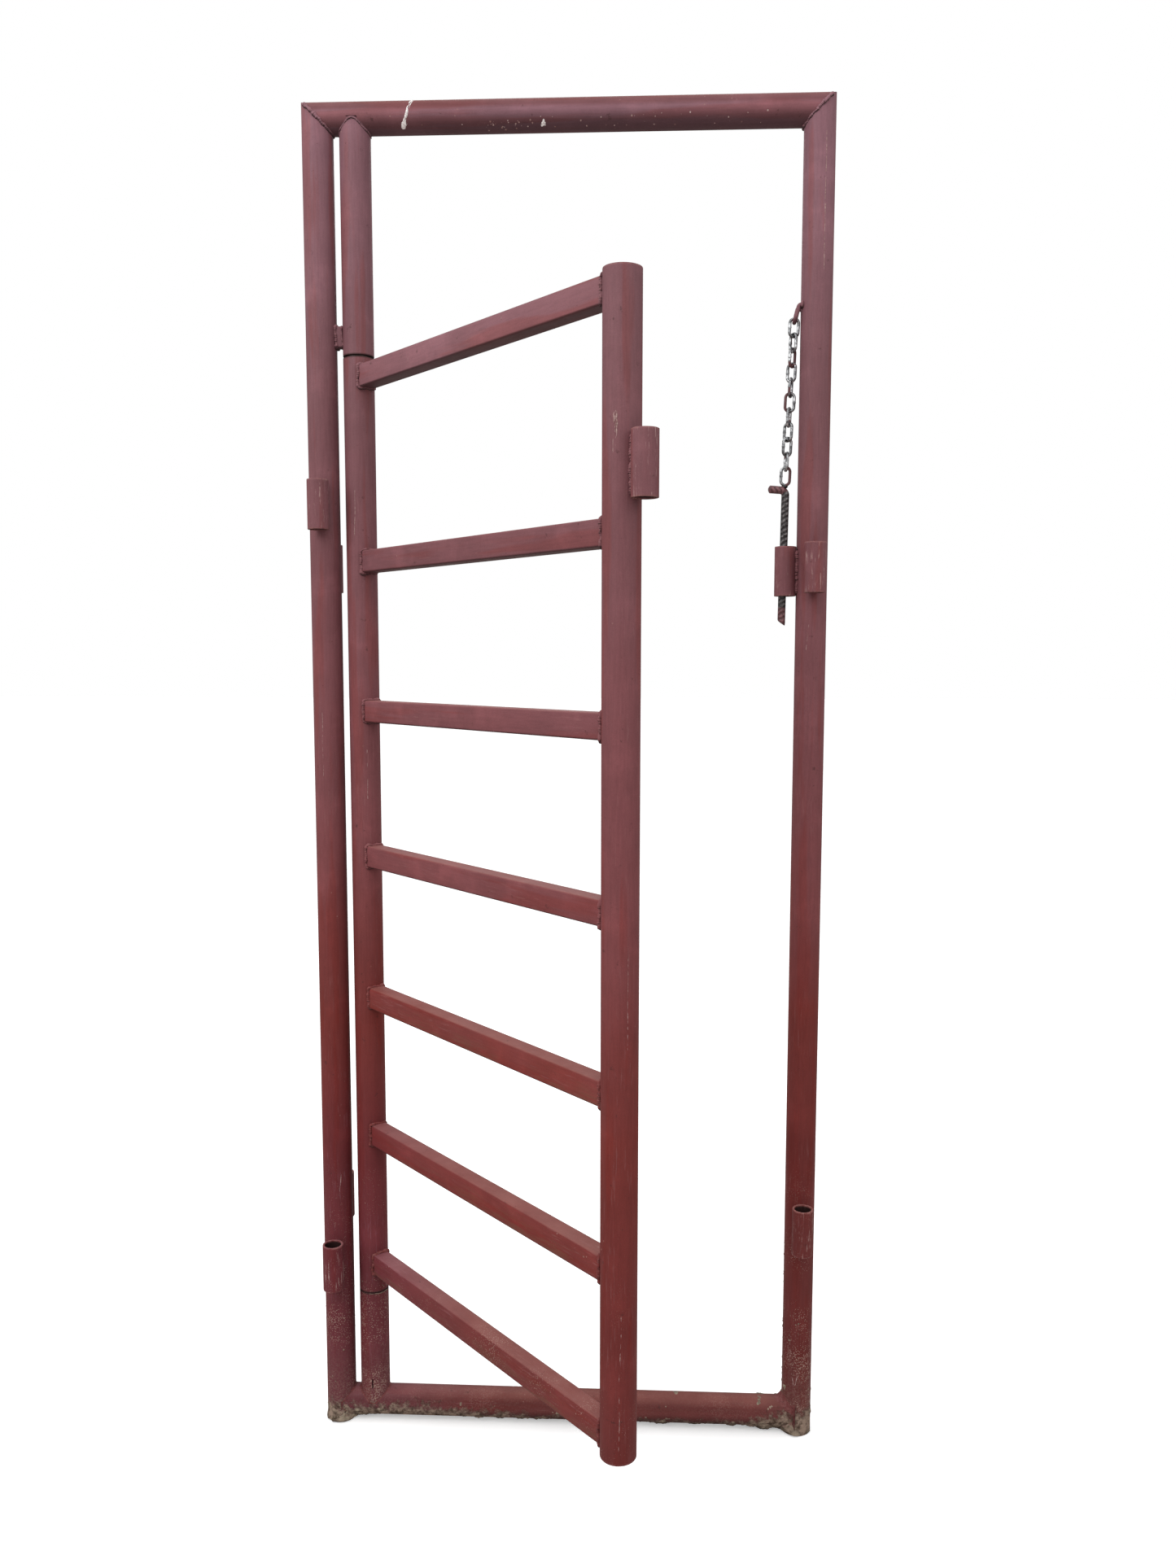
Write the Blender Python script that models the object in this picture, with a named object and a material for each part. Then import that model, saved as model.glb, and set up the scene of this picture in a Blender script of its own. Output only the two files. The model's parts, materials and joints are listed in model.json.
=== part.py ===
"""A livestock panel gate: a welded tube frame, a seven bar leaf on a spigot hinge, eight
connector sleeves for the neighbouring panels, and a latch pin hanging from a short chain.

X runs along the gate from the left outer post's axis, the front is towards -Y, and Z is up
from the foot of the posts. All sizes are in metres."""

import math

import bmesh
import bpy
from mathutils import Vector

# Tube stock
TUBE_RADIUS = 0.02415
TUBE_BORE = 0.02125
SPIGOT_RADIUS = 0.0208
SPIGOT_BORE = 0.0178
SLEEVE_RADIUS = 0.01685
SLEEVE_BORE = 0.0136
GAP = 0.0003  # between pieces that are welded or rest on each other
SADDLE_GAP = 0.0006  # the same round a saddle cut, whose facets bulge towards the other tube

# Frame
POST_SPAN = 0.772
HINGE_X = 0.0585
TOP_RAIL_Z = 2.119
BOTTOM_RAIL_Z = 0.031
BRIDGE_LOW = 1.7755
BRIDGE_HIGH = 1.808
BRIDGE_WIDTH = 0.016
DRAIN_SLIT = (0.0022, 0.062, 0.079)  # width, bottom and top

# Hinge: the leaf's tube turns on two spigots held in the frame's short posts
LOWER_JOINT_Z = 0.2314
LOWER_JOINT_GAP = 0.0014
UPPER_JOINT_Z = 1.760
UPPER_JOINT_GAP = 0.0024
SPIGOT_REACH = 0.050

# Leaf
LEAF_OPEN = math.radians(47.64)
LEAF_WIDTH = 0.630
STILE_LOW = 0.2575
STILE_HIGH = 1.750
BAR_HEIGHT = 0.0345
BAR_THICKNESS = 0.0275
BAR_WALL = 0.002
BAR_CORNER = 0.003
BAR_LEVELS = (0.282, 0.506, 0.738, 0.972, 1.2065, 1.443, 1.7285)

# Sleeves: the height of each one's middle
SLEEVE_LENGTH = 0.077
SLEEVE_LEVELS = {
    "left_front": (0.286, 1.5295),
    "left_back": (0.375, 1.436),
    "right_front": (0.365, 1.431),
    "right_back": (0.286, 1.5295),
}
LATCH_SLEEVE_Z = 1.4275
STILE_SLEEVE_Z = 1.519
STILE_SLEEVE_LENGTH = 0.080

# Chain: straight and taut, leaning away from the post as it goes down
CHAIN_TOP = Vector((0.7383, 0.0, 1.8072))
CHAIN_LEAN = math.radians(2.4)
LINK_WIRE = 0.00225
LINK_HALF_WIDTH = 0.0068
LINK_PITCH = 0.0225
LINK_PLAY = 0.0003
LINK_EYE = 0.00625  # from the top of a link's centreline down to its turning point
LINK_LENGTH = LINK_PITCH + 2 * LINK_WIRE + LINK_PLAY
LINK_TURNS = (10, 122, 50, 142, 70, 0, 68, 138, 26, 98, 0)
FIRST_LOWER_LINK = 6
STAPLE_WIRE = 0.00325
STAPLE_HALF_WIDTH = 0.0085
STAPLE_LEAN = math.radians(14)
STAPLE_LEG = 0.0135
STAPLE_BEND = 0.004

# Pin: one bar bent to an L
PIN_RADIUS = 0.0062
PIN_HANDLE_END = Vector((0.7020, 0.0, 1.5549))
PIN_ELBOW = Vector((0.7290, 0.0, 1.5528))
PIN_TIP = Vector((0.7258, 0.0, 1.3470))
PIN_BEND = 0.008
PIN_TIP_SLOPE = math.tan(math.radians(35))

TUBE_SIDES = 32
SLEEVE_SIDES = 24
PIN_SIDES = 16
WIRE_SIDES = 8
ARC_STEPS = 6

RED = (0.155, 0.052, 0.050)
LIGHT_RED = (0.190, 0.085, 0.085)
ZINC = (0.52, 0.53, 0.54)
STEEL = (0.085, 0.080, 0.080)

DEPTH = Vector((0.0, 1.0, 0.0))


def clear_scene():
    for thing in list(bpy.data.objects):
        bpy.data.objects.remove(thing, do_unlink=True)


def finish_of(name, colour, roughness, metallic):
    material = bpy.data.materials.new(name)
    material.use_nodes = True
    shader = material.node_tree.nodes["Principled BSDF"]
    shader.inputs["Base Color"].default_value = (*colour, 1.0)
    shader.inputs["Roughness"].default_value = roughness
    shader.inputs["Metallic"].default_value = metallic
    return material


def pivot(name, place, turn=0.0):
    empty = bpy.data.objects.new(name, None)
    empty.location = place
    empty.rotation_euler = (0.0, 0.0, turn)
    bpy.context.scene.collection.objects.link(empty)
    return empty


def add_piece(name, mesh, colour, parent=None, roughness=0.55, metallic=0.0):
    """One named piece; its mesh is in the coordinates of its parent."""
    piece = bpy.data.objects.new(name, mesh)
    piece.parent = parent
    mesh.name = name
    mesh.materials.append(finish_of(name, colour, roughness, metallic))
    mesh.shade_smooth()
    mesh.set_sharp_from_angle(angle=math.radians(35))
    bpy.context.scene.collection.objects.link(piece)
    return piece


def loft(rings, closed=False):
    """Skin a row of rings that all have the same number of points."""
    build = bmesh.new()
    loops = [[build.verts.new(point) for point in ring] for ring in rings]
    pairs = list(zip(loops, loops[1:]))
    if closed:
        pairs.append((loops[-1], loops[0]))
    else:
        build.faces.new(loops[0])
        build.faces.new(loops[-1])
    for low, high in pairs:
        for i in range(len(low)):
            j = (i + 1) % len(low)
            build.faces.new((low[i], low[j], high[j], high[i]))
    bmesh.ops.recalc_face_normals(build, faces=build.faces)
    mesh = bpy.data.meshes.new("shape")
    build.to_mesh(mesh)
    build.free()
    return mesh


def circle(radius, sides):
    angles = [2 * math.pi * i / sides for i in range(sides)]
    return [(radius * math.cos(a), radius * math.sin(a)) for a in angles]


def rounded_box(width, height, corner, steps=3):
    """Outline of a rectangle with round corners."""
    points = []
    for turn, sx, sy in ((0, 1, 1), (1, -1, 1), (2, -1, -1), (3, 1, -1)):
        for k in range(steps + 1):
            a = math.pi / 2 * (turn + k / steps)
            x = sx * (width / 2 - corner) + corner * math.cos(a)
            y = sy * (height / 2 - corner) + corner * math.sin(a)
            points.append((x, y))
    return points


def hollow(outer, inner, place, start, end):
    """A tube: outlines in (a, b), with its ends at start(a, b) and end(a, b) along its run."""
    rings = []
    for outline, stop in ((outer, start), (outer, end), (inner, end), (inner, start)):
        rings.append([place(a, b, stop(a, b)) for a, b in outline])
    return loft(rings, closed=True)


def flat(value):
    return lambda a, b: value


def upright_at(x, y):
    return lambda a, b, run: Vector((x + a, y + b, run))


def along_x_at(y, z):
    return lambda a, b, run: Vector((run, y + a, z + b))


def saddle(offset):
    """How far a tube's surface stands off its axis, offset to the side of that axis."""
    return math.sqrt((TUBE_RADIUS + SADDLE_GAP) ** 2 - offset**2)


def tube(place, start, end):
    outer = circle(TUBE_RADIUS, TUBE_SIDES)
    return hollow(outer, circle(TUBE_BORE, TUBE_SIDES), place, start, end)


def sleeve(x, y, middle, length=SLEEVE_LENGTH):
    outer = circle(SLEEVE_RADIUS, SLEEVE_SIDES)
    inner = circle(SLEEVE_BORE, SLEEVE_SIDES)
    low = flat(middle - length / 2)
    return hollow(outer, inner, upright_at(x, y), low, flat(middle + length / 2))


def sweep(path, first_side, radius, sides, closed=False):
    """A round rod along a path, its rings carried along without twist."""
    count = len(path)
    rings = []
    side = first_side
    for i, point in enumerate(path):
        before = path[i - 1] if closed or i > 0 else path[0]
        after = path[(i + 1) % count] if closed or i < count - 1 else path[-1]
        forward = (after - before).normalized()
        side = (side - forward * side.dot(forward)).normalized()
        other = forward.cross(side)
        ring = [point + side * a + other * b for a, b in circle(radius, sides)]
        rings.append(ring)
    return rings


def arc(centre, first, second, radius, start, end, steps):
    """Points on an arc in the plane of two unit directions."""
    angles = [start + (end - start) * k / steps for k in range(steps + 1)]
    return [centre + radius * (first * math.cos(a) + second * math.sin(a)) for a in angles]


def make_frame():
    miter = GAP * 0.75
    foot = flat(0.0)
    left_top = lambda a, b: TOP_RAIL_Z - a - miter
    right_top = lambda a, b: TOP_RAIL_Z + a - miter
    add_piece("left_outer_post", tube(upright_at(0.0, 0.0), foot, left_top), RED)
    add_piece("right_post", tube(upright_at(POST_SPAN, 0.0), foot, right_top), RED)
    rail_left = lambda a, b: miter - b
    rail_right = lambda a, b: POST_SPAN - miter + b
    top = tube(along_x_at(0.0, TOP_RAIL_Z), rail_left, rail_right)
    add_piece("top_rail", top, LIGHT_RED)
    from_left = lambda a, b: saddle(a)
    to_right = lambda a, b: POST_SPAN - saddle(a)
    bottom = tube(along_x_at(0.0, BOTTOM_RAIL_Z), from_left, to_right)
    add_piece("bottom_rail", bottom, RED)


def make_hinge_posts():
    """Short posts above and below the leaf, saddled onto the rails, with a spigot in each."""
    at_hinge = upright_at(HINGE_X, 0.0)
    upper_end = flat(UPPER_JOINT_Z + UPPER_JOINT_GAP / 2)
    under_rail = lambda a, b: TOP_RAIL_Z - saddle(b)
    add_piece("upper_hinge_post", tube(at_hinge, upper_end, under_rail), LIGHT_RED)
    over_rail = lambda a, b: BOTTOM_RAIL_Z + saddle(b)
    lower_end = flat(LOWER_JOINT_Z - LOWER_JOINT_GAP / 2)
    lower = add_piece("lower_hinge_post", tube(at_hinge, over_rail, lower_end), RED)
    cut_drain_slit(lower)
    outer = circle(SPIGOT_RADIUS, TUBE_SIDES)
    inner = circle(SPIGOT_BORE, TUBE_SIDES)
    for name, level in (("upper", UPPER_JOINT_Z), ("lower", LOWER_JOINT_Z)):
        low = flat(level - SPIGOT_REACH)
        spigot = hollow(outer, inner, at_hinge, low, flat(level + SPIGOT_REACH))
        add_piece(f"{name}_hinge_spigot", spigot, STEEL, roughness=0.4, metallic=1.0)


def cut_drain_slit(post):
    """A narrow slit through the front wall, low on the post."""
    width, low, high = DRAIN_SLIT
    middle = Vector((HINGE_X, -TUBE_RADIUS, (low + high) / 2))
    build = bmesh.new()
    bmesh.ops.create_cube(build, size=1.0)
    bmesh.ops.scale(build, vec=(width, 0.014, high - low), verts=build.verts)
    bmesh.ops.translate(build, vec=middle, verts=build.verts)
    mesh = bpy.data.meshes.new("drain_slit_cutter")
    build.to_mesh(mesh)
    build.free()
    cutter = bpy.data.objects.new("drain_slit_cutter", mesh)
    bpy.context.scene.collection.objects.link(cutter)
    cutter.hide_render = True
    cutter.display_type = "WIRE"
    cut = post.modifiers.new("drain_slit", "BOOLEAN")
    cut.operation = "DIFFERENCE"
    cut.solver = "EXACT"
    cut.object = cutter


def make_bridge():
    """A block between the outer post and the upper hinge post, fitted to both tubes."""
    steps = 6
    rings = []
    for k in range(steps + 1):
        y = BRIDGE_WIDTH * (k / steps - 0.5)
        left = saddle(y)
        right = HINGE_X - saddle(y)
        corners = (left, BRIDGE_LOW), (right, BRIDGE_LOW), (right, BRIDGE_HIGH), (left, BRIDGE_HIGH)
        rings.append([Vector((x, y, z)) for x, z in corners])
    add_piece("hinge_post_bridge", loft(rings), LIGHT_RED)


def make_sleeves():
    stand_off = TUBE_RADIUS + SLEEVE_RADIUS + GAP
    for place, levels in SLEEVE_LEVELS.items():
        x = 0.0 if place.startswith("left") else POST_SPAN
        y = -stand_off if place.endswith("front") else stand_off
        for height, level in zip(("lower", "upper"), levels):
            add_piece(f"sleeve_{place}_{height}", sleeve(x, y, level), RED)
    add_piece("latch_sleeve", sleeve(POST_SPAN - stand_off, 0.0, LATCH_SLEEVE_Z), RED)


def make_leaf():
    leaf = pivot("leaf_pivot", (HINGE_X, 0.0, 0.0), -LEAF_OPEN)
    low = flat(LOWER_JOINT_Z + LOWER_JOINT_GAP / 2)
    high = flat(UPPER_JOINT_Z - UPPER_JOINT_GAP / 2)
    add_piece("hinge_tube", tube(upright_at(0.0, 0.0), low, high), RED, leaf)
    stile = tube(upright_at(LEAF_WIDTH, 0.0), flat(STILE_LOW), flat(STILE_HIGH))
    add_piece("swing_stile", stile, RED, leaf)
    outer = rounded_box(BAR_THICKNESS, BAR_HEIGHT, BAR_CORNER)
    wall = 2 * BAR_WALL
    inner = rounded_box(BAR_THICKNESS - wall, BAR_HEIGHT - wall, BAR_CORNER - BAR_WALL)
    start = flat(TUBE_RADIUS + GAP)
    end = flat(LEAF_WIDTH - TUBE_RADIUS - GAP)
    for number, level in enumerate(BAR_LEVELS, 1):
        bar = hollow(outer, inner, along_x_at(0.0, level), start, end)
        add_piece(f"bar_{number}", bar, RED, leaf)
    out = LEAF_WIDTH + TUBE_RADIUS + SLEEVE_RADIUS + GAP
    latch = sleeve(out, 0.0, STILE_SLEEVE_Z, STILE_SLEEVE_LENGTH)
    add_piece("stile_latch_sleeve", latch, LIGHT_RED, leaf)


def make_staple():
    """A bow of rod on the post's inner side: two short legs, and a round bottom for the chain."""
    rise = Vector((math.sin(STAPLE_LEAN), 0.0, math.cos(STAPLE_LEAN)))
    away = rise.cross(DEPTH)
    post_face = POST_SPAN - TUBE_RADIUS + 0.0002
    middle = CHAIN_TOP + rise * STAPLE_HALF_WIDTH
    bow = arc(middle, DEPTH, -rise, STAPLE_HALF_WIDTH, 0.0, math.pi, 10)
    turn = math.pi / 2 - STAPLE_LEAN
    legs = []
    for side in (-1, 1):
        knee = middle + DEPTH * side * STAPLE_HALF_WIDTH + rise * STAPLE_LEG
        bend = arc(knee - away * STAPLE_BEND, away, rise, STAPLE_BEND, 0.0, turn, 4)
        end = bend[-1].copy()
        end.x = post_face
        legs.append(bend + [end])
    path = list(reversed(legs[1])) + bow + legs[0]
    first_side = Vector((0.0, 0.0, 1.0))
    add_piece("chain_staple", loft(sweep(path, first_side, STAPLE_WIRE, 10)), LIGHT_RED)


def link_mesh(centre, down, side):
    """A welded oval link: two half rounds and two straight sides."""
    reach = LINK_LENGTH / 2 - LINK_HALF_WIDTH
    half = math.pi
    lower = arc(centre + down * reach, side, down, LINK_HALF_WIDTH, 0.0, half, ARC_STEPS)
    upper = arc(centre - down * reach, side, down, LINK_HALF_WIDTH, half, 2 * half, ARC_STEPS)
    rings = sweep(lower + upper, side.cross(down), LINK_WIRE, WIRE_SIDES, closed=True)
    return loft(rings, closed=True)


def make_chain_and_pin():
    """Links 1 to 5 and 6 to 10 turn as two equal arms, so the pin rises along the chain's line."""
    down = Vector((-math.sin(CHAIN_LEAN), 0.0, -math.cos(CHAIN_LEAN)))
    across = Vector((math.cos(CHAIN_LEAN), 0.0, -math.sin(CHAIN_LEAN)))
    first = CHAIN_TOP - down * (STAPLE_WIRE + LINK_WIRE + LINK_PLAY)

    def eye(number):
        return first + down * (LINK_PITCH * (number - 1) + LINK_EYE)

    upper = pivot("chain_upper_pivot", eye(1))
    lower = pivot("chain_lower_pivot", eye(FIRST_LOWER_LINK))
    hanging = pivot("pin_pivot", eye(len(LINK_TURNS)))
    for number, turn in enumerate(LINK_TURNS, 1):
        holder = upper if number < FIRST_LOWER_LINK else lower
        if number == len(LINK_TURNS):
            holder = hanging
        side = across * math.cos(math.radians(turn)) + DEPTH * math.sin(math.radians(turn))
        centre = first + down * (LINK_PITCH * (number - 1) + LINK_LENGTH / 2)
        mesh = link_mesh(centre - holder.location, down, side)
        add_piece(f"chain_link_{number:02d}", mesh, ZINC, holder, 0.35, 1.0)
    make_pin(hanging)


def make_pin(holder):
    """The bar runs along the handle, round the elbow and down to a slanting cut."""
    handle = (PIN_HANDLE_END - PIN_ELBOW).normalized()
    shaft = (PIN_TIP - PIN_ELBOW).normalized()
    angle = handle.angle(shaft)
    setback = PIN_BEND / math.tan(angle / 2)
    centre = PIN_ELBOW + (handle + shaft).normalized() * (PIN_BEND / math.sin(angle / 2))
    start = PIN_ELBOW + handle * setback
    towards = (start - centre).normalized()
    bend = arc(centre, towards, -handle, PIN_BEND, 0.0, math.pi - angle, 6)
    rings = sweep([PIN_HANDLE_END] + bend + [PIN_TIP], DEPTH, PIN_RADIUS, PIN_SIDES)
    rings[-1] = [point + shaft * (point - PIN_TIP).x * PIN_TIP_SLOPE for point in rings[-1]]
    rings = [[point - holder.location for point in ring] for ring in rings]
    add_piece("latch_pin", loft(rings), STEEL, holder, 0.6, 0.6)


clear_scene()
make_frame()
make_hinge_posts()
make_bridge()
make_sleeves()
make_leaf()
make_staple()
make_chain_and_pin()
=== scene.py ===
"""The looks of the livestock panel gate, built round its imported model.

Every tube, bar, sleeve, link and the pin gets a fine mesh in the place its CAD node gives,
with weld beads, mud and scuffs beside them. All sizes are in metres."""

import json
import math

import bmesh
import bpy
from mathutils import Matrix, Vector, noise


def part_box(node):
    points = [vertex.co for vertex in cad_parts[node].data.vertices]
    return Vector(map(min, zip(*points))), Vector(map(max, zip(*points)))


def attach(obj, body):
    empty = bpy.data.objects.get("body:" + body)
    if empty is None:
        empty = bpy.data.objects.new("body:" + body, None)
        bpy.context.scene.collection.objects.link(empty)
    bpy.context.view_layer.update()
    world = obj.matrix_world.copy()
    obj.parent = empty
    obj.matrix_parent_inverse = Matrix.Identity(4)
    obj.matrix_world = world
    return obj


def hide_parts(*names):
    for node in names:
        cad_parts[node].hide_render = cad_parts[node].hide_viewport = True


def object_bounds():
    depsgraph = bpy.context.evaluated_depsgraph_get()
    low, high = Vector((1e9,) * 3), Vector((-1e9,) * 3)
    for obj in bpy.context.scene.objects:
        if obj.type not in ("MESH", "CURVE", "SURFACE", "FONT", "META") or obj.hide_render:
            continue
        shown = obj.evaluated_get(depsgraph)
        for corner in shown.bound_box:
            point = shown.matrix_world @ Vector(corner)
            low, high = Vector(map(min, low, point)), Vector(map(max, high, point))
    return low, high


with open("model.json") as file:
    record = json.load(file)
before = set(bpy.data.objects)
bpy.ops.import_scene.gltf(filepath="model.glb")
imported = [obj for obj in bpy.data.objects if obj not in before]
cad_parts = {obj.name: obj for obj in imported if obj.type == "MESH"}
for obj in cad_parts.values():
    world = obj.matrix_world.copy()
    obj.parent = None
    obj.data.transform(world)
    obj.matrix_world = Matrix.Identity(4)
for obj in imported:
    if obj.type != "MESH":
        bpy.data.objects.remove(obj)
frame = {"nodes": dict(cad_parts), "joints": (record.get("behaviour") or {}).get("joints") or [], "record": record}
cad_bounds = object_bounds()

# vector noise starts from the clock unless it is given a seed other than 0
NOISE_SEED = 1
noise.seed_set(NOISE_SEED)

# ---- places, from the frame
IN_PLACE = Matrix()
UP = Vector((0.0, 0.0, 1.0))
DEPTH = Vector((0.0, 1.0, 0.0))
RIGHT = Vector((1.0, 0.0, 0.0))


def middle_of(node):
    low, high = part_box(node)
    return (low + high) / 2


def size_of(node):
    low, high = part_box(node)
    return high - low


def levels_of(node):
    low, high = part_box(node)
    return low.z, high.z


HINGE = Vector(next(joint["pos_m"] for joint in frame["joints"] if joint["name"] == "gate_swing"))
TUBE_R = size_of("left_outer_post").y / 2
TUBE_WALL = 0.0029
LEFT_X = middle_of("left_outer_post").x
RIGHT_X = middle_of("right_post").x
TOP_Z = middle_of("top_rail").z
BOTTOM_Z = middle_of("bottom_rail").z
STILE = middle_of("swing_stile")
LEAF_TURN = math.atan2(STILE.y - HINGE.y, STILE.x - HINGE.x)
LEAF_WIDTH = math.hypot(STILE.x - HINGE.x, STILE.y - HINGE.y)
LEAF = Matrix.Translation((HINGE.x, HINGE.y, 0.0)) @ Matrix.Rotation(LEAF_TURN, 4, "Z")
BARS = [f"bar_{number}" for number in range(1, 8)]
BAR_HIGH = size_of("bar_1").z
BAR_THICK = 0.0275
BAR_WALL = 0.002
BAR_GAP = 0.0003
BAR_CORNER = 0.003
SLEEVE_R = size_of("latch_sleeve").y / 2
SLEEVE_WALL = 0.00325
SLEEVES = [name for name in sorted(frame["nodes"]) if name.startswith("sleeve_")]
BODY_OF = {}
for body, members in frame["record"]["behaviour"]["bodies"].items():
    for member in members:
        BODY_OF[member] = body

SPIGOT_WALL = 0.003
TUBE_SIDES = 64
TUBE_STEP = 0.03
RIM = 0.0007


# ---- node helpers
class Graph:
    """A node tree under construction, with short calls for the nodes it needs."""

    def __init__(self, tree):
        self.nodes = tree.nodes
        self.links = tree.links

    def add(self, kind, **settings):
        made = self.nodes.new(kind)
        for key, value in settings.items():
            setattr(made, key, value)
        return made

    def feed(self, socket, value):
        if isinstance(value, bpy.types.NodeSocket):
            self.links.new(value, socket)
        elif isinstance(value, tuple) and len(value) == 3 and socket.type == "RGBA":
            socket.default_value = (*value, 1.0)
        else:
            socket.default_value = value

    def maths(self, operation, first, second, clamp=False):
        made = self.add("ShaderNodeMath", operation=operation, use_clamp=clamp)
        self.feed(made.inputs[0], first)
        self.feed(made.inputs[1], second)
        return made.outputs[0]

    def times(self, first, *others):
        for other in others:
            first = self.maths("MULTIPLY", first, other)
        return first

    def plus(self, first, second):
        return self.maths("ADD", first, second)

    def minus(self, first, second):
        return self.maths("SUBTRACT", first, second)

    def between(self, value, low, high, at_low=0.0, at_high=1.0):
        """Eases from at_low to at_high as the value goes from low to high; low may be the larger."""
        made = self.add("ShaderNodeMapRange", interpolation_type="SMOOTHSTEP")
        first, last = (at_low, at_high) if low < high else (at_high, at_low)
        self.feed(made.inputs["Value"], value)
        self.feed(made.inputs["From Min"], min(low, high))
        self.feed(made.inputs["From Max"], max(low, high))
        self.feed(made.inputs["To Min"], first)
        self.feed(made.inputs["To Max"], last)
        return made.outputs["Result"]

    def axis(self, vector, letter):
        split = self.add("ShaderNodeSeparateXYZ")
        self.feed(split.inputs[0], vector)
        return split.outputs[letter]


class Shader(Graph):
    """A material under construction; its colour is laid on one coat after another."""

    def __init__(self, name):
        self.material = bpy.data.materials.new(name)
        self.material.use_nodes = True
        super().__init__(self.material.node_tree)
        self.out = self.nodes["Principled BSDF"]
        self.place = self.add("ShaderNodeTexCoord").outputs["Object"]
        self.height = self.axis(self.place, "Z")
        self.run = self.axis(self.place, "X")
        self.up = self.axis(self.add("ShaderNodeNewGeometry").outputs["Normal"], "Z")
        self.colour = None

    def stretched(self, scale):
        made = self.add("ShaderNodeMapping")
        self.feed(made.inputs["Vector"], self.place)
        made.inputs["Scale"].default_value = scale
        return made.outputs[0]

    def noise(self, scale, detail=4.0, rough=0.55, place=None):
        made = self.add("ShaderNodeTexNoise")
        self.feed(made.inputs["Vector"], self.place if place is None else place)
        made.inputs["Scale"].default_value = scale
        made.inputs["Detail"].default_value = detail
        made.inputs["Roughness"].default_value = rough
        return made.outputs["Fac"]

    def patches(self, scale, detail, rough, low, high, place=None):
        """Noise with its middle drawn apart: 0 below low and 1 above high."""
        return self.between(self.noise(scale, detail, rough, place), low, high)

    def cells(self, scale):
        made = self.add("ShaderNodeTexVoronoi")
        self.feed(made.inputs["Vector"], self.place)
        made.inputs["Scale"].default_value = scale
        return made.outputs["Distance"]

    def ramp(self, value, stops):
        made = self.add("ShaderNodeValToRGB")
        self.feed(made.inputs[0], value)
        points = made.color_ramp.elements
        while len(points) < len(stops):
            points.new(0.5)
        for point, (position, colour) in zip(points, stops):
            point.position = position
            point.color = (*colour, 1.0)
        return made.outputs[0]

    def mix(self, share, first, second, blend="MIX"):
        made = self.add("ShaderNodeMix", data_type="RGBA", blend_type=blend)
        self.feed(made.inputs[0], share)
        self.feed(made.inputs[6], first)
        self.feed(made.inputs[7], second)
        return made.outputs[2]

    def lay(self, share, amount, tone):
        """Covers the colour with a tone where the share is, as thickly as the amount."""
        self.colour = self.mix(self.times(share, amount), self.colour, tone)

    def tint(self, share, amount, factor):
        """Makes the colour lighter or darker by a factor, or by one for each of its channels."""
        factors = factor if isinstance(factor, tuple) else (factor, factor, factor)
        self.lay(share, amount, self.mix(1.0, self.colour, factors, "MULTIPLY"))

    def attribute(self, name, output="Fac"):
        return self.add("ShaderNodeAttribute", attribute_name=name).outputs[output]

    def bump(self, height, distance, strength, under=None):
        made = self.add("ShaderNodeBump")
        made.inputs["Distance"].default_value = distance
        made.inputs["Strength"].default_value = strength
        self.feed(made.inputs["Height"], height)
        if under is not None:
            self.feed(made.inputs["Normal"], under)
        return made.outputs["Normal"]

    def finish(self, roughness, metallic, normal, specular):
        self.feed(self.out.inputs["Base Color"], self.colour)
        self.feed(self.out.inputs["Roughness"], roughness)
        self.feed(self.out.inputs["Metallic"], metallic)
        self.out.inputs["Specular IOR Level"].default_value = specular
        if normal is not None:
            self.feed(self.out.inputs["Normal"], normal)
        return self.material


# ---- materials
PAINT_BY_HEIGHT = (
    (0.00, (0.134, 0.034, 0.033)),
    (0.20, (0.152, 0.027, 0.025)),
    (0.34, (0.176, 0.032, 0.028)),
    (0.46, (0.206, 0.062, 0.067)),
    (0.62, (0.210, 0.078, 0.088)),
    (0.80, (0.212, 0.092, 0.105)),
    (0.95, (0.258, 0.124, 0.150)),
)
FULL_HEIGHT = 2.15
MUD = (0.310, 0.232, 0.178)
DARK_MUD = (0.070, 0.048, 0.034)
DUST = (0.300, 0.125, 0.108)
# near-black for the painted shade on downward faces
UNDERSIDE_SHADE = (0.018, 0.011, 0.012)


def height_colour(make):
    """The paint's colour by height, with a soft wandering border between its tones."""
    cloud = make.times(make.minus(make.noise(3.2), 0.5), 0.20)
    return make.ramp(make.plus(make.maths("DIVIDE", make.height, FULL_HEIGHT), cloud), PAINT_BY_HEIGHT)


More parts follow.
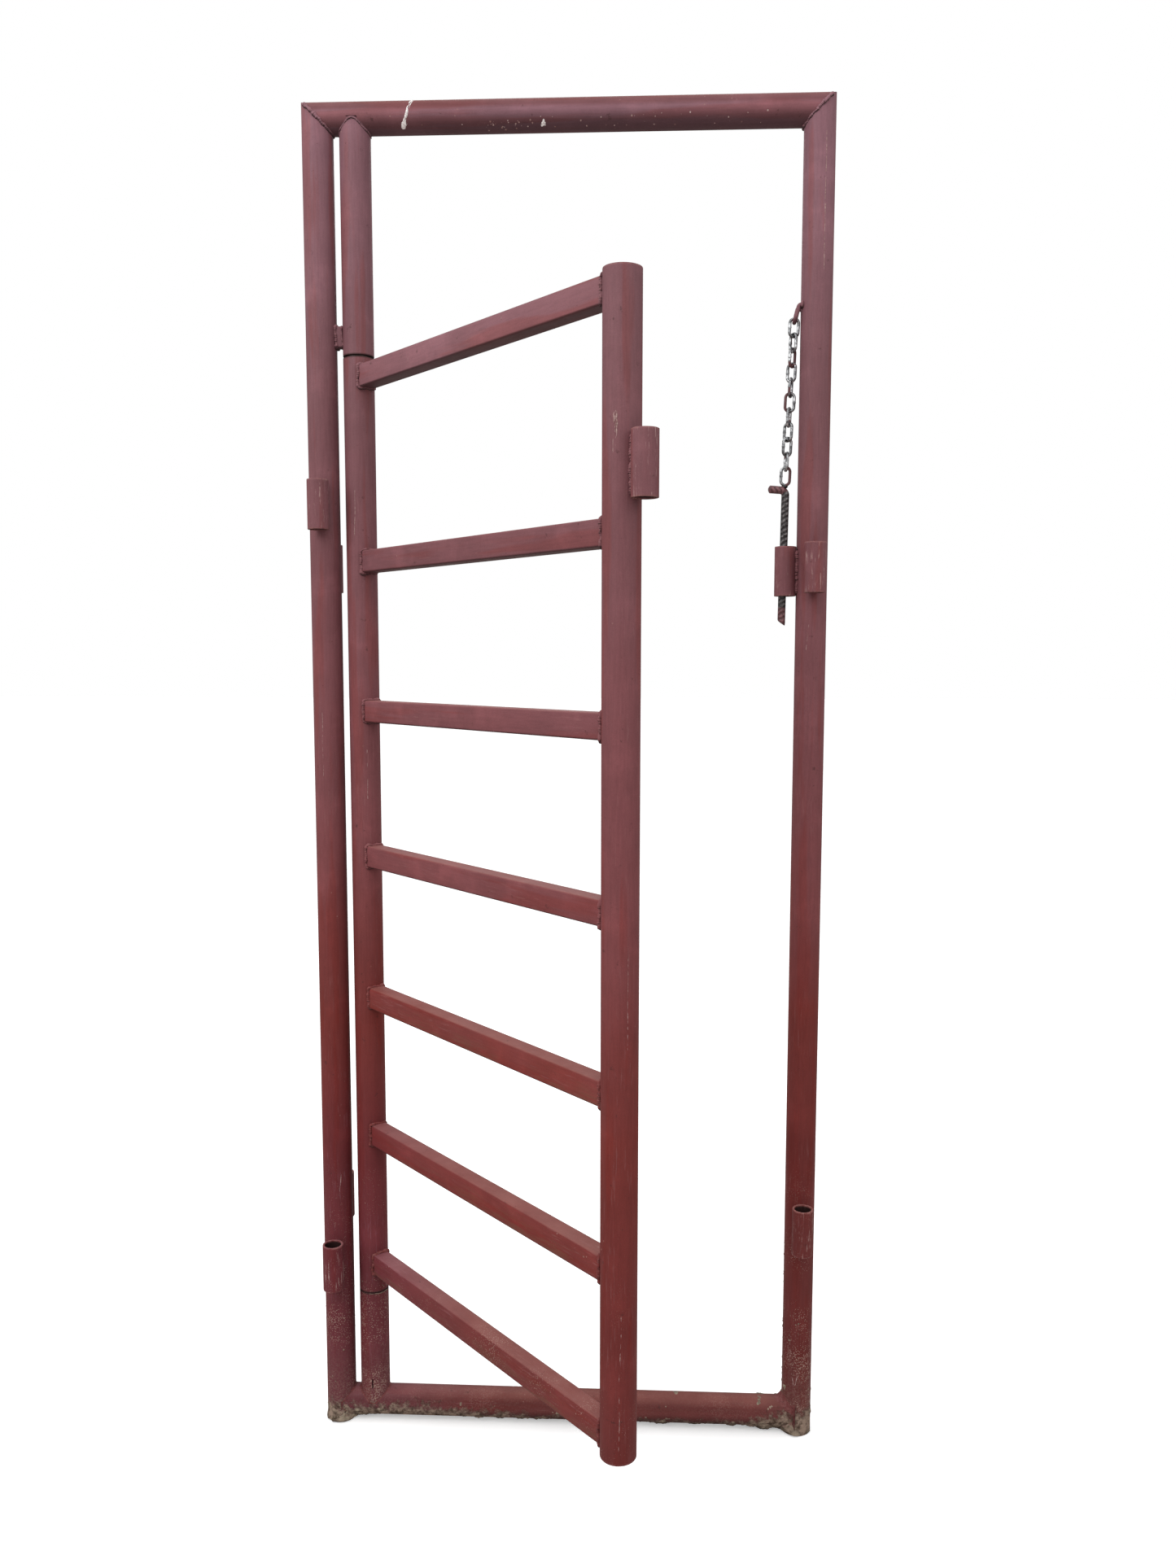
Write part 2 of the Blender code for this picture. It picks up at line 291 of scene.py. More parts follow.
def paint_material():
    """Dull red-oxide paint: greyer and lighter high up, redder low down, muddied at the foot."""
    make = Shader("red_oxide_paint")
    height = make.height
    up = make.up
    make.colour = height_colour(make)
    along = make.attribute("grain", "Vector")
    # soft patches, strokes along the tube and fine grain
    make.tint(make.patches(11.0, 6.0, 0.62, 0.36, 0.66), 0.55, 0.78)
    make.tint(make.patches(17.0, 5.0, 0.6, 0.50, 0.72), 0.60, 1.28)
    make.tint(make.patches(300.0, 4.0, 0.6, 0.40, 0.66, along), 0.45, 0.80)
    strokes = make.patches(420.0, 3.0, 0.6, 0.56, 0.70, along)
    strokes = make.times(strokes, make.patches(8.0, 3.0, 0.55, 0.42, 0.62))
    make.lay(strokes, 0.30, (0.28, 0.135, 0.135))
    make.tint(make.patches(46.0, 3.0, 0.5, 0.50, 0.62, along), 0.75, (1.02, 0.76, 0.70))
    make.tint(make.patches(700.0, 3.0, 0.6, 0.35, 0.68), 0.5, 0.84)
    # dust above, and painted shade underneath
    thickness = make.plus(make.times(make.noise(26.0, 5.0), 0.6), 0.14)
    make.lay(make.between(up, 0.45, 0.95), thickness, DUST)
    make.lay(make.between(up, 0.10, -0.75), 0.62, UNDERSIDE_SHADE)
    # painted shade on the rails' upper fronts makes them darker and redder, and painted light on the bars' upright
    # faces makes them lighter
    rail = make.attribute("rail")
    make.tint(rail, make.between(up, 0.02, 0.42), (0.70, 0.56, 0.52))
    sides = make.times(make.attribute("bar"), make.between(up, 0.60, 0.20), make.between(up, -0.60, -0.20))
    low_bars = make.between(height, 1.10, 0.60)
    outer_bars = make.maths("ADD", low_bars, make.between(height, 1.45, 1.65), clamp=True)
    make.tint(sides, outer_bars, 1.22)
    # a crimson cast on the low part of the left posts
    make.tint(make.between(make.run, 0.30, 0.02), make.between(height, 0.75, 0.30), (1.0, 1.02, 1.34))
    # worn rims
    worn = make.times(make.attribute("wear"), make.patches(190.0, 4.0, 0.7, 0.36, 0.60))
    make.lay(worn, 0.62, (0.30, 0.135, 0.125))
    # knocks and scrapes on the sleeves
    scrapes = make.patches(380.0, 5.0, 0.7, 0.57, 0.64, along)
    scrapes = make.times(scrapes, make.patches(42.0, 4.0, 0.55, 0.42, 0.56), make.attribute("scuff"))
    make.lay(scrapes, 0.70, (0.46, 0.31, 0.29))
    # specks of splashed dust, thicker towards the ground but not on the rails, a few chips and stains
    reach = make.plus(make.times(make.between(height, 0.60, 0.04), 0.40), 0.055)
    reach = make.times(reach, make.patches(13.0, 4.0, 0.7, 0.30, 0.70))
    off_rails = make.maths("SUBTRACT", 1.0, make.times(rail, 1.4), clamp=True)
    specks = make.times(make.maths("LESS_THAN", make.cells(420.0), reach), off_rails)
    make.lay(specks, 0.62, (0.42, 0.29, 0.24))
    chips = make.maths("LESS_THAN", make.cells(75.0), 0.085)
    chips = make.times(chips, make.patches(4.0, 3.0, 0.55, 0.54, 0.66))
    make.lay(chips, 0.65, (0.34, 0.20, 0.17))
    make.lay(make.patches(62.0, 5.0, 0.7, 0.64, 0.72), 0.55, (0.040, 0.016, 0.015))
    # dirt held along the lower edges of the bars, painted shade with some dirt in the bores, and a painted shadow
    # in the hinge gaps
    hem = make.times(make.attribute("hem"), make.patches(240.0, 5.0, 0.7, 0.40, 0.62, along))
    hem = make.times(hem, make.patches(9.0, 3.0, 0.55, 0.36, 0.60), make.between(height, 1.00, 0.70))
    make.lay(hem, 0.60, (0.135, 0.075, 0.045))
    make.lay(make.attribute("bore"), 0.90, (0.012, 0.008, 0.007))
    # mud film at the foot, dust thinning out above it
    ragged = make.times(make.minus(make.noise(75.0, 8.0, 0.75), 0.5), 0.085)
    near_left = make.times(make.between(make.run, 0.42, 0.12), 0.016)
    near_right = make.times(make.between(make.run, 0.66, 0.77), 0.024)
    film = make.minus(make.plus(height, ragged), make.plus(near_left, near_right))
    mud = make.between(film, 0.024, 0.006)
    dusty = make.times(make.between(height, 0.17, 0.0), make.patches(340.0, 7.0, 0.8, 0.44, 0.62))
    make.lay(make.times(dusty, off_rails), 0.55, (0.250, 0.170, 0.138))
    make.lay(mud, 0.92, make.mix(make.patches(85.0, 6.0, 0.7, 0.38, 0.60), DARK_MUD, MUD))
    roughness = make.plus(make.times(make.noise(45.0), 0.22), 0.46)
    roughness = make.maths("MAXIMUM", roughness, make.times(mud, 0.95))
    peel = make.bump(make.noise(330.0), 0.0005, 0.35)
    ripple = make.bump(make.noise(36.0, place=make.stretched((1.0, 1.0, 0.4))), 0.0014, 0.35, peel)
    normal = make.bump(make.times(mud, make.noise(120.0, 6.0, 0.7)), 0.003, 0.8, ripple)
    return make.finish(roughness, 0.0, normal, 0.16)


def weld_material():
    """Painted weld bead: the paint's colour, with lighter patches as painted highlights on its crests, dark
    patches as painted shade in its pits, and painted shade underneath.
    """
    make = Shader("weld_paint")
    make.colour = height_colour(make)
    # lighter patches as painted highlights on the crests, dark patches as painted shade in the pits
    make.lay(make.patches(210.0, 5.0, 0.65, 0.42, 0.66), 0.35, (0.26, 0.115, 0.11))
    make.lay(make.patches(330.0, 4.0, 0.7, 0.54, 0.66), 0.75, (0.030, 0.010, 0.010))
    # painted shade on the downward faces
    make.lay(make.between(make.up, 0.05, -0.75), 0.8, UNDERSIDE_SHADE)
    ragged = make.times(make.minus(make.noise(60.0, 8.0, 0.72), 0.5), 0.10)
    make.lay(make.between(make.plus(make.height, ragged), 0.026, 0.006), 1.0, MUD)
    return make.finish(0.58, 0.0, make.bump(make.noise(300.0, 5.0, 0.65), 0.0009, 0.7), 0.2)


def mud_material():
    """Dried mud, crumbly, with paler patches and bits of straw."""
    make = Shader("dried_mud")
    make.colour = make.mix(make.patches(70.0, 6.0, 0.7, 0.36, 0.62), DARK_MUD, MUD)
    make.lay(make.patches(28.0, 4.0, 0.55, 0.48, 0.70), 0.7, (0.33, 0.275, 0.205))
    stretched = make.stretched((0.12, 1.0, 1.0))
    make.lay(make.patches(500.0, 2.0, 0.55, 0.62, 0.70, stretched), 0.6, (0.40, 0.33, 0.22))
    # painted shade on the mud's downward faces
    make.lay(make.between(make.up, 0.0, -0.8), 0.7, (0.035, 0.025, 0.018))
    crumbs = make.bump(make.cells(260.0), 0.0012, 0.7)
    return make.finish(0.95, 0.0, make.bump(make.noise(150.0, 8.0, 0.75), 0.003, 0.9, crumbs), 0.15)


def zinc_material():
    """Zinc-plated wire, shiny, with dark handling marks and patches of red overspray."""
    make = Shader("zinc_wire")
    make.colour = make.ramp(make.noise(230.0), ((0.34, (0.16, 0.165, 0.17)), (0.66, (0.60, 0.61, 0.62))))
    make.lay(make.patches(120.0, 4.0, 0.55, 0.44, 0.58), 0.70, (0.045, 0.045, 0.048))
    spray = make.maths("MAXIMUM", make.patches(52.0, 3.0, 0.55, 0.63, 0.66), make.attribute("wear"))
    make.lay(spray, 1.0, (0.10, 0.035, 0.038))
    roughness = make.plus(make.times(make.noise(150.0), 0.25), 0.16)
    roughness = make.maths("MAXIMUM", roughness, make.times(spray, 0.5))
    metal = make.maths("SUBTRACT", 1.0, spray, clamp=True)
    return make.finish(roughness, metal, make.bump(make.noise(600.0, 3.0), 0.0002, 0.4), 0.5)


def rebar_material():
    """Dark mill-scaled ribbed bar, red on the handle and at the tip, with painted highlights on the rib crests."""
    make = Shader("ribbed_bar")
    scale = ((0.34, (0.014, 0.012, 0.013)), (0.68, (0.060, 0.056, 0.056)))
    make.colour = make.ramp(make.noise(120.0, 5.0, 0.6), scale)
    # painted highlights: the rib crests are lighter in patches, on the bare bar and on its red paint
    crest = make.times(make.attribute("wear"), make.patches(210.0, 3.0, 0.55, 0.35, 0.6))
    make.lay(crest, 0.75, (0.22, 0.205, 0.205))
    painted = make.plus(make.attribute("paint"), make.times(make.noise(140.0), 0.5))
    painted = make.between(painted, 0.62, 0.86)
    red = make.mix(make.noise(80.0, 3.0), (0.055, 0.017, 0.019), (0.105, 0.040, 0.044))
    red = make.mix(make.times(crest, 0.60), red, (0.27, 0.125, 0.135))
    make.lay(painted, 1.0, red)
    metal = make.times(make.maths("SUBTRACT", 1.0, painted, clamp=True), 0.55)
    return make.finish(0.5, metal, make.bump(make.noise(500.0), 0.0003, 0.5), 0.4)


def steel_material():
    """Bare greasy steel."""
    make = Shader("greasy_steel")
    make.colour = make.ramp(make.noise(80.0), ((0.3, (0.012, 0.010, 0.010)), (0.7, (0.050, 0.034, 0.026))))
    return make.finish(0.45, 0.6, make.bump(make.noise(300.0), 0.0003, 0.4), 0.4)


def mottled_material(name, scale, detail, dark, pale, roughness, bump, specular):
    """Two tones in patches; bump is the noise's scale, its height and its strength."""
    make = Shader(name)
    make.colour = make.mix(make.patches(scale, detail, 0.55, 0.35, 0.65), dark, pale)
    normal = make.bump(make.noise(bump[0]), bump[1], bump[2])
    return make.finish(roughness, 0.0, normal, specular)


PAINT = paint_material()
WELD = weld_material()
MUD_CAKE = mud_material()
ZINC = zinc_material()
REBAR = rebar_material()
STEEL = steel_material()
SCUFF = mottled_material("scuffed_paint", 300.0, 4.0, (0.21, 0.105, 0.10), (0.44, 0.30, 0.28),
                         0.7, (500.0, 0.0002, 0.4), 0.3)
SPATTER = mottled_material("pale_spatter", 200.0, 5.0, (0.24, 0.12, 0.105), (0.46, 0.36, 0.34),
                           0.85, (400.0, 0.0004, 0.6), 0.2)
LIME = mottled_material("white_splash", 400.0, 4.0, (0.62, 0.56, 0.55), (0.93, 0.92, 0.90),
                        0.8, (500.0, 0.0003, 0.4), 0.2)


# ---- mesh helpers
def mesh_of(build, name):
    mesh = bpy.data.meshes.new(name)
    build.to_mesh(mesh)
    build.free()
    return mesh


def skin(name, rings, loop=False, caps=True, sharp=40, grain=None, **marks):
    """Faces between rows of points. Each mark has one number for each row or point, grain a vector."""
    build = bmesh.new()
    rows = [[build.verts.new(point) for point in ring] for ring in rings]
    pairs = list(zip(rows, rows[1:]))
    if loop:
        pairs.append((rows[-1], rows[0]))
    elif caps:
        build.faces.new(rows[0])
        build.faces.new(rows[-1])
    for low, high in pairs:
        for i in range(len(low)):
            j = (i + 1) % len(low)
            build.faces.new((low[i], low[j], high[j], high[i]))
    bmesh.ops.recalc_face_normals(build, faces=build.faces)
    mesh = mesh_of(build, name)
    across = len(rings[0])
    for label, values_of in marks.items():
        values = mesh.attributes.new(label, "FLOAT", "POINT").data
        for row, value in enumerate(values_of):
            for i in range(across):
                values[row * across + i].value = value[i] if isinstance(value, (list, tuple)) else value
    if grain is not None:
        vectors = mesh.attributes.new("grain", "FLOAT_VECTOR", "POINT").data
        for row, line in enumerate(grain):
            for i in range(across):
                vectors[row * across + i].vector = line[i]
    mesh.shade_smooth()
    mesh.set_sharp_from_angle(angle=math.radians(sharp))
    return mesh


def piece(name, mesh, material, body="frame", replaced=()):
    made = bpy.data.objects.new(name, mesh)
    mesh.materials.clear()
    mesh.materials.append(material)
    bpy.context.scene.collection.objects.link(made)
    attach(made, body)
    if replaced:
        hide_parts(*replaced)
    return made


def merged(meshes, name):
    build = bmesh.new()
    for mesh in meshes:
        build.from_mesh(mesh)
    whole = mesh_of(build, name)
    whole.shade_smooth()
    whole.set_sharp_from_angle(angle=math.radians(50))
    return whole


def circle(radius, sides, squash=1.0):
    angles = [2 * math.pi * i / sides for i in range(sides)]
    return [(radius * math.cos(a), radius * squash * math.sin(a)) for a in angles]


def rounded_box(width, height, corner, steps=5):
    points = []
    for turn, sx, sy in ((0, 1, 1), (1, -1, 1), (2, -1, -1), (3, 1, -1)):
        for k in range(steps + 1):
            a = math.pi / 2 * (turn + k / steps)
            x = sx * (width / 2 - corner) + corner * math.cos(a)
            y = sy * (height / 2 - corner) + corner * math.sin(a)
            points.append((x, y))
    return points


def arc(centre, first, second, radius, start, end, steps):
    angles = [start + (end - start) * k / steps for k in range(steps + 1)]
    return [centre + radius * (first * math.cos(a) + second * math.sin(a)) for a in angles]


def shrunk(outline, by):
    """The outline moved in towards its middle, for a rim's rounding."""
    half_x = max(x for x, y in outline)
    half_y = max(y for x, y in outline)
    return [(x * (1 - by / half_x), y * (1 - by / half_y)) for x, y in outline]


def hollow(name, outer, wall, place, start, end, rims):
    """A tube whose ends stand at start(a, b) and end(a, b) along its run, with round rims."""
    steps = max(2, int((end(0.0, 0.0) - start(0.0, 0.0)) / TUBE_STEP))
    own = sum(ord(letter) for letter in name) * 0.37
    is_bar = name.startswith("bar")
    in_hinge = "hinge" in name
    rows = []
    grain = []
    marks = {"wear": [], "bore": [], "hem": []}

    def ring(outline, value, shift, worn, inside):
        rows.append([place(a, b, value(a, b) + shift) for a, b in outline])
        grain.append([((value(a, b) + shift) * 0.07 + own, a, b) for a, b in outline])
        marks["wear"].append(worn * (0.25 if in_hinge else 1.0))
        # the hinge rims share the bores' mark, as a painted shadow in the gaps between the hinge tubes
        marks["bore"].append(max(inside, 0.8 * worn if in_hinge else 0.0))
        marks["hem"].append([max(0.0, -b - 0.006) / 0.011 if is_bar else 0.0 for a, b in outline])

    def stations(sign, is_rim):
        """From the outer wall, over the end's face, to the bore."""
        if not is_rim:
            return [(outer, 0.0, 0.0, 0.0), (shrunk(outer, wall), 0.0, 0.0, 1.0)]
        made = [(outer, sign * 4 * RIM, 0.0, 0.0)]
        turns = (0.0, math.pi / 4, math.pi / 2)
        bends = [(RIM * (1 - math.cos(t)), RIM * (1 - math.sin(t))) for t in turns]
        for inset, shift in bends:
            made.append((shrunk(outer, inset), sign * shift, 1.0, 0.0))
        for inset, shift in bends[::-1]:
            made.append((shrunk(outer, wall - inset), sign * shift, 1.0, 0.0))
        made.append((shrunk(outer, wall), sign * 5 * RIM, 0.0, 1.0))
        return made

    for outline, shift, worn, inside in reversed(stations(1.0, rims[0])):
        ring(outline, start, shift, worn, inside)
    for k in range(1, steps):
        blend = k / steps
        ring(outer, lambda a, b: start(a, b) * (1 - blend) + end(a, b) * blend, 0.0, 0.0, 0.0)
    for outline, shift, worn, inside in stations(-1.0, rims[1]):
        ring(outline, end, shift, worn, inside)
    marks["scuff"] = [float("sleeve" in name)] * len(rows)
    marks["rail"] = [{"top_rail": 1.0, "bottom_rail": 0.6}.get(name, 0.0)] * len(rows)
    marks["bar"] = [float(is_bar)] * len(rows)
    return skin(name, rows, loop=True, grain=grain, **marks)


def flat(value):
    return lambda a, b: value


def upright_at(x, y, matrix=IN_PLACE):
    return lambda a, b, run: matrix @ Vector((x + a, y + b, run))


def along_x_at(z, matrix=IN_PLACE):
    return lambda a, b, run: matrix @ Vector((run, a, z + b))


def swept(name, path, first_side, radius, sides, loop=False, caps=True, shape=None, **rows):
    """A rod along a path; shape(i, angle) scales its radius there."""
    count = len(path)
    rings = []
    side = first_side
    for i, point in enumerate(path):
        before = path[i - 1] if loop or i > 0 else path[0]
        after = path[(i + 1) % count] if loop or i < count - 1 else path[-1]
        forward = (after - before).normalized()
        side = (side - forward * side.dot(forward)).normalized()
        other = forward.cross(side)
        ring = []
        for k in range(sides):
            angle = 2 * math.pi * k / sides
            r = radius if shape is None else radius * shape(i, angle)
            ring.append(point + side * (r * math.cos(angle)) + other * (r * math.sin(angle)))
        rings.append(ring)
    return skin(name, rings, loop=loop, caps=caps, **rows)


def distances(path):
    """How far along the path each of its points is."""
    made = [0.0]
    for a, b in zip(path, path[1:]):
        made.append(made[-1] + (b - a).length)
    return made


def resampled(path, step):
    """The path with points a set distance apart."""
    lengths = distances(path)
    count = max(3, int(lengths[-1] / step))
    made = []
    k = 0
    for i in range(count + 1):
        want = lengths[-1] * i / count
        while k < len(path) - 2 and lengths[k + 1] < want:
            k += 1
        span = lengths[k + 1] - lengths[k]
        made.append(path[k].lerp(path[k + 1], (want - lengths[k]) / span if span else 0.0))
    return made


def bead(path, radius=0.0026, first_side=UP, seed=0.0, loop=False):
    """A weld bead: overlapping ripples, uneven in width and height, thinning out at its ends."""
    points = resampled(path, 0.0009)
    if loop:
        points = points[:-1]
    count = len(points)

    def shape(i, angle):
        point = points[i]
        wave = 0.12 * math.sin(2 * math.pi * i / 3.3 + 1.6 * math.sin(i * 0.17 + seed))
        lump = 0.62 * noise.noise(point * 190.0 + Vector((seed, angle * 0.35, 0.0)))
        swell = 0.45 * noise.noise(point * 62.0 + Vector((0.0, seed, 0.0)))
        ends = 1.0 if loop else min(1.0, 0.45 + min(i, count - 1 - i) * 0.16)
        return max(0.45, 1.0 + wave + lump + swell) * ends

    shift = Vector((seed, 0.0, seed))
    wandering = [point + noise.noise_vector(point * 90.0 + shift) * 0.0011 for point in points]
    return swept("bead", wandering, first_side, radius, 10, loop=loop, shape=shape, sharp=80)


# ---- the frame and the leaf
TUBE = circle(TUBE_R, TUBE_SIDES)
SADDLE_R = TUBE_R + 0.0006
BRIDGE_CORNER = 0.0022
MITER_GAP = 0.00022


def saddle(offset):
    """How far a tube's surface stands off its axis, offset to the side of that axis."""
    return math.sqrt(SADDLE_R**2 - offset**2)


def tube_piece(node, place, start, end, rims, material=PAINT, slot="red_paint", outline=TUBE,
               wall=TUBE_WALL):
    mesh = hollow(node, outline, wall, place, start, end, rims)
    return piece(f"{node}_shown", mesh, material, BODY_OF[node], (node,))


def whole_tube(node, place, *looks, **shape):
    """A tube with both ends cut square and showing their rims."""
    low, high = levels_of(node)
    tube_piece(node, place, flat(low), flat(high), (True, True), *looks, **shape)


def make_frame():
    left = upright_at(LEFT_X, 0.0)
    right = upright_at(RIGHT_X, 0.0)
    tube_piece("left_outer_post", left, flat(0.0), lambda a, b: TOP_Z - a - MITER_GAP, (True, False))
    tube_piece("right_post", right, flat(0.0), lambda a, b: TOP_Z + a - MITER_GAP, (True, False))
    tube_piece("top_rail", along_x_at(TOP_Z), lambda a, b: LEFT_X + MITER_GAP - b,
               lambda a, b: RIGHT_X - MITER_GAP + b, (False, False))
    tube_piece("bottom_rail", along_x_at(BOTTOM_Z), lambda a, b: LEFT_X + saddle(a),
               lambda a, b: RIGHT_X - saddle(a), (False, False))


def cut_slit(post):
    """Cuts the drain slit through the front wall, low on the post."""
    build = bmesh.new()
    bmesh.ops.create_cube(build, size=1.0)
    bmesh.ops.scale(build, vec=(0.0022, 0.014, 0.017), verts=build.verts)
    middle = (HINGE.x, -TUBE_R, BOTTOM_Z + TUBE_R + 0.0154)
    bmesh.ops.translate(build, vec=middle, verts=build.verts)
    blade = bpy.data.objects.new("slit", mesh_of(build, "slit"))
    bpy.context.scene.collection.objects.link(blade)
    cut = post.modifiers.new("slit", "BOOLEAN")
    cut.operation = "DIFFERENCE"
    cut.solver = "EXACT"
    cut.object = blade
    bpy.context.view_layer.update()
    shaped = bpy.data.meshes.new_from_object(post.evaluated_get(bpy.context.evaluated_depsgraph_get()))
    post.modifiers.clear()
    post.data = shaped
    bpy.data.objects.remove(blade)


def make_hinge():
    at_hinge = upright_at(HINGE.x, 0.0)
    foot = levels_of("upper_hinge_post")[0]
    head = levels_of("lower_hinge_post")[1]
    tube_piece("upper_hinge_post", at_hinge, flat(foot), lambda a, b: TOP_Z - saddle(b), (True, False))
    cut_slit(tube_piece("lower_hinge_post", at_hinge, lambda a, b: BOTTOM_Z + saddle(b), flat(head),
                        (False, True)))
    for node in ("upper_hinge_spigot", "lower_hinge_spigot"):
        outline = circle(size_of(node).y / 2, TUBE_SIDES)
        whole_tube(node, at_hinge, STEEL, "bare_steel", outline, SPIGOT_WALL)
    whole_tube("hinge_tube", upright_at(0.0, 0.0, LEAF))
    whole_tube("swing_stile", upright_at(LEAF_WIDTH, 0.0, LEAF))


def make_bridge():
    """The block between the outer post and the upper hinge post, its long edges rounded."""
    size = size_of("hinge_post_bridge")
    middle = middle_of("hinge_post_bridge").z
    rows = []
    for k in range(9):
        ring = []
        for y, z in rounded_box(size.y, size.z, BRIDGE_CORNER):
            start = LEFT_X + saddle(y)
            end = HINGE.x - saddle(y)
            ring.append(Vector((start + (end - start) * k / 8, y, middle + z)))
        rows.append(ring)
    mesh = skin("hinge_post_bridge", rows)
    piece("hinge_post_bridge_shown", mesh, PAINT, replaced=("hinge_post_bridge",))


def make_sleeves():
    outline = circle(SLEEVE_R, 48)
    for node in SLEEVES + ["latch_sleeve"]:
        middle = middle_of(node)
        whole_tube(node, upright_at(middle.x, middle.y), outline=outline, wall=SLEEVE_WALL)
    out = (LEAF.inverted() @ middle_of("stile_latch_sleeve")).x
    whole_tube("stile_latch_sleeve", upright_at(out, 0.0, LEAF), outline=outline, wall=SLEEVE_WALL)


def make_bars():
    outline = rounded_box(BAR_THICK, BAR_HIGH, BAR_CORNER)
    start = flat(TUBE_R + BAR_GAP)
    end = flat(LEAF_WIDTH - TUBE_R - BAR_GAP)
    for node in BARS:
        place = along_x_at(middle_of(node).z, LEAF)
        tube_piece(node, place, start, end, (False, False), outline=outline, wall=BAR_WALL)


# ---- welds
LOW_CORNER = Vector(cad_bounds[0])
HIGH_CORNER = Vector(cad_bounds[1])
BOX_MARGIN = 0.0001


def kept_inside(mesh):
    """Flattens whatever would stand out of the object's own box."""
    for vertex in mesh.vertices:
        for axis in range(3):
            low = LOW_CORNER[axis] + BOX_MARGIN
            vertex.co[axis] = min(HIGH_CORNER[axis] - BOX_MARGIN, max(low, vertex.co[axis]))
    return mesh


def seam(place, outline, value, out, radius, seed, along):
    """A bead round a tube where it meets another, at value(a, b) along its run."""
    half = max(x for x, y in outline)
    grow = 1 + out / half
    path = [place(a * grow, b * grow, value(a, b) + along) for a, b in outline]
    path.append(path[0])
    return bead(path, radius, place(0.0, 0.0, 1.0) - place(0.0, 0.0, 0.0), seed, loop=True)


def miter_bead(x, inward, radius, seed):
    """The bead along a mitred corner; it is ground away round the corner's outer point."""
    path = []
    for k in range(101):
        angle = math.radians(42 + 276 * k / 100)
        a = math.cos(angle) * TUBE_R * inward
        b = math.sin(angle) * TUBE_R
        path.append(Vector((x - a, b, TOP_Z + a * inward)))
    return bead(path, radius, UP, seed)


def flare(place, axis, sign, reach, across, seed):
    """A concave web of weld round a tube that meets another square on.

    The other tube's axis crosses this one's run at axis, this tube leaves it towards sign,
    and across tells which of (a, b) lies across the other tube."""
    around = circle(1.0, 96)
    rows = [[place(a * 0.9 * TUBE_R, b * 0.9 * TUBE_R, axis + sign * (0.45 * TUBE_R)) for a, b in around]]
    for k in range(10):
        turn = math.pi / 2 * k / 9
        row = []
        for tips in around:
            along_other = abs(tips[1 - across]) ** 1.6
            spot = Vector((tips[0], tips[1], seed))
            web = reach * (0.14 + 0.86 * along_other) * (1 + 0.35 * noise.noise(spot * 3.0))
            rho = TUBE_R - 0.0003 + web * (1 - math.cos(turn))
            side = rho * tips[across]
            surface = math.sqrt(max(TUBE_R**2 - side**2, (0.2 * TUBE_R) ** 2)) - 0.0006 * k / 9
            run = axis + sign * (surface + web * (1 - math.sin(turn)))
            row.append(place(rho * tips[0], rho * tips[1], run))
        rows.append(row)
    return skin("flare", rows, sharp=60)


def line_bead(start, end, radius, seed):
    points = []
    for k in range(13):
        point = start.lerp(end, k / 12)
        points.append(point + noise.noise_vector(point * 60.0 + Vector((seed, 0, 0))) * 0.0006)
    side = (end - start).orthogonal().normalized()
    return bead(points, radius, side, seed)


def groove_beads(axis_a, axis_b, radius_a, radius_b, runs, seed):
    """Beads in both grooves between two upright tubes that touch; runs are (low, high) heights."""
    across = (axis_b - axis_a).normalized()
    side = Vector((-across.y, across.x, 0.0))
    offset = 0.0068
    from_a = math.sqrt(radius_a**2 - offset**2)
    from_b = (axis_b - axis_a).length - math.sqrt(radius_b**2 - offset**2)
    made = []
    for number, sign in enumerate((-1.0, 1.0)):
        foot = axis_a + across * (from_a + from_b) / 2 + side * sign * offset
        for low, high in runs:
            start = Vector((foot.x, foot.y, low))
            end = Vector((foot.x, foot.y, high))
            made.append(line_bead(start, end, 0.0029, seed + number * 3.1 + low))
    return made


def make_frame_welds():
    beads = []
    fine = circle(TUBE_R, 96)
    beads.append(miter_bead(LEFT_X, 1.0, 0.0026, 1.0))
    beads.append(miter_bead(RIGHT_X, -1.0, 0.0024, 2.0))
    rail = along_x_at(BOTTOM_Z)
    hinge = upright_at(HINGE.x, 0.0)
    beads.append(flare(rail, LEFT_X, 1.0, 0.004, 0, 3.0))
    beads.append(flare(rail, RIGHT_X, -1.0, 0.016, 0, 4.0))
    beads.append(flare(hinge, TOP_Z, -1.0, 0.0045, 1, 5.0))
    beads.append(flare(hinge, BOTTOM_Z, 1.0, 0.005, 1, 6.0))
    beads.append(seam(hinge, fine, lambda a, b: TOP_Z - saddle(b), -0.0002, 0.0017, 5.0, -0.0010))
    low, high = levels_of("hinge_post_bridge")
    half = size_of("hinge_post_bridge").y / 2
    for end, sign, thick in ((LEFT_X, 1.0, 0.0026), (HINGE.x, -1.0, 0.0017)):
        block = rounded_box(2 * half, high - low, 0.0022)
        path = []
        for y, z in block:
            x = end + sign * (math.sqrt(TUBE_R**2 - y**2) + 0.0012)
            path.append(Vector((x, y * 1.02, (low + high) / 2 + z * 0.97)))
        path.append(path[0])
        beads.append(bead(path, thick, RIGHT, 7.0 + sign, loop=True))
    for number, node in enumerate(SLEEVES):
        middle = middle_of(node)
        low, high = levels_of(node)
        post = Vector((LEFT_X if "left" in node else RIGHT_X, 0.0, 0.0))
        axis = Vector((middle.x, middle.y, 0.0))
        runs = ((low + 0.004, low + 0.030), (high - 0.030, high - 0.004))
        beads += groove_beads(post, axis, TUBE_R, SLEEVE_R, runs, 10.0 + number)
    middle = middle_of("latch_sleeve")
    low, high = levels_of("latch_sleeve")
    runs = ((low + 0.004, high - 0.006),)
    beads += groove_beads(Vector((RIGHT_X, 0, 0)), Vector((middle.x, 0, 0)), TUBE_R, SLEEVE_R, runs, 20.0)
    mesh = kept_inside(merged(beads, "frame_welds"))
    piece("frame_welds", mesh, WELD)


